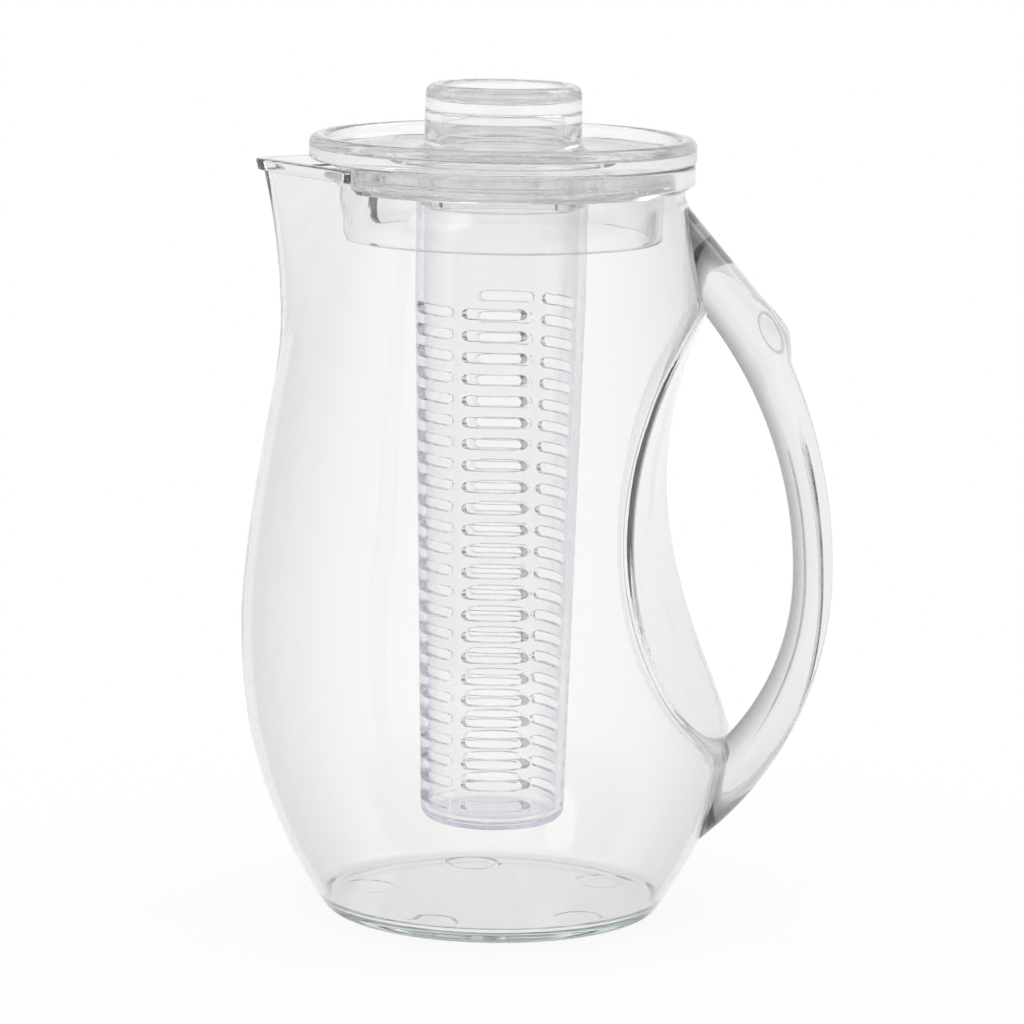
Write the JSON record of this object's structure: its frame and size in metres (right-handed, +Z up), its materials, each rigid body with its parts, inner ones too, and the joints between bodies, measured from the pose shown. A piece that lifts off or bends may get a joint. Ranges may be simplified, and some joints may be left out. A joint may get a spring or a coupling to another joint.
{
  "type": "fruit infuser pitcher",
  "caption": "Clear moulded pitcher with a loop handle and pouring spout, a turning lid with a hollow knob, and a slotted infuser tube that locks under the lid.",
  "frame": {"origin": "centre of the flat underside, on the axis of the pitcher, at table height", "axes": "+Z up along the axis of the pitcher, +X towards the handle, -X towards the spout"},
  "size_m": [0.1847, 0.159, 0.2586],
  "materials": {
    "clear_body": "clear moulded plastic, glossy",
    "clear_handle": "clear moulded plastic, solid and glossy",
    "clear_lid": "clear moulded plastic, glossy",
    "clear_cap": "clear moulded plastic, glossy",
    "seal_ring": "translucent silicone, satin",
    "tinted_tube": "clear moulded plastic with a faint lilac tint, glossy"
  },
  "bodies": {
    "pitcher": {"pitcher_body": "clear_body", "handle": "clear_handle"},
    "seal": {"lid_seal": "seal_ring"},
    "lid": {"lid": "clear_lid", "knob_cap": "clear_cap"},
    "infuser": {"infuser_tube": "tinted_tube"}
  },
  "joints": [
    {"name": "lid_lift", "type": "slide", "parent": "pitcher", "child": "seal", "axis": [0, 0, 1], "range_m": [0, 0.215]},
    {"name": "lid_turn", "type": "hinge", "parent": "seal", "child": "lid", "pos_m": [0, 0, 0.235], "axis": [0, 0, 1], "continuous": true},
    {"name": "infuser_twist", "type": "hinge", "parent": "lid", "child": "infuser", "pos_m": [0, 0, 0.2245], "axis": [0, 0, 1], "range_deg": [0, 22]}
  ]
}
